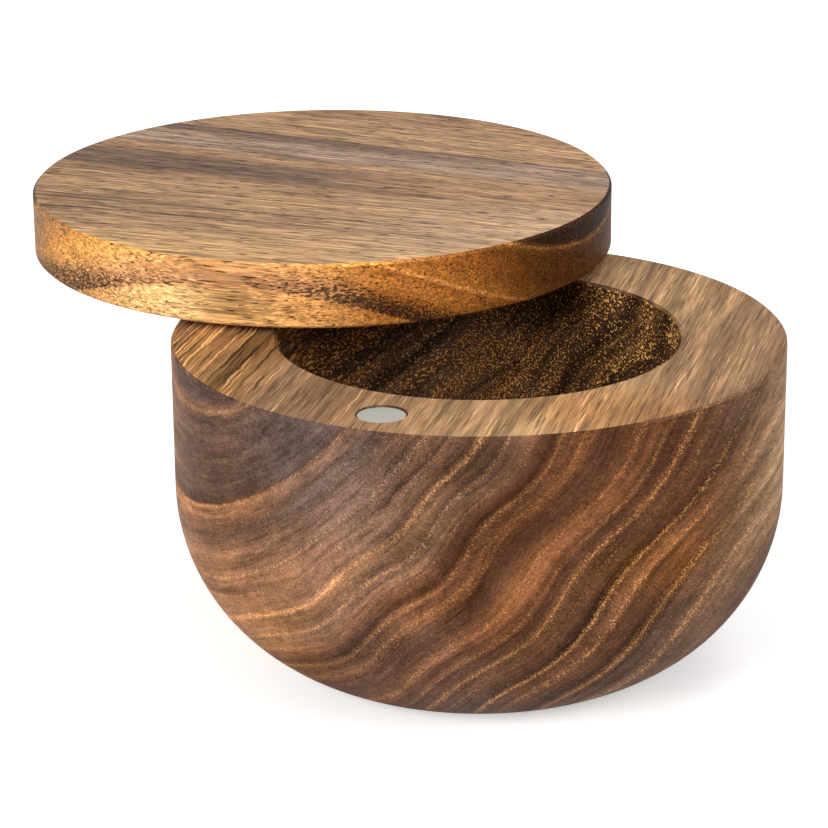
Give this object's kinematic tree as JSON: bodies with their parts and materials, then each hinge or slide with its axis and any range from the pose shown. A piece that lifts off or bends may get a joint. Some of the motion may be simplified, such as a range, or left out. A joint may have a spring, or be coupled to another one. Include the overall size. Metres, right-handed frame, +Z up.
{
  "type": "salt pig",
  "caption": "Round turned wooden salt keeper with a flat base, a deep cavity and a thick wooden lid that swivels sideways on a hidden pin and closes magnetically.",
  "frame": {"origin": "centre of the bowl's flat base, on the surface it stands on", "axes": "+Z up along the bowl's axis; -Y towards the front, where the lid's magnet meets the rim's magnet; +Y towards the lid's pivot at the back; +X to the right seen from the front"},
  "size_m": [0.1823, 0.1744, 0.0833],
  "materials": {
    "bowl_wood": "oiled satin",
    "lid_wood": "oiled satin",
    "pin_steel": "ground",
    "bush_nylon": "matte",
    "magnet_nickel": "satin nickel plating"
  },
  "bodies": {
    "bowl_body": {"bowl": "bowl_wood", "pivot_bush": "bush_nylon", "bowl_magnet": "magnet_nickel"},
    "lid_body": {"lid": "lid_wood", "pivot_pin": "pin_steel", "lid_magnet": "magnet_nickel"}
  },
  "joints": [
    {"name": "lid_swivel", "type": "hinge", "parent": "bowl_body", "child": "lid_body", "pos_m": [0, 0.055, 0.068], "axis": [0, 0, 1], "continuous": true}
  ]
}
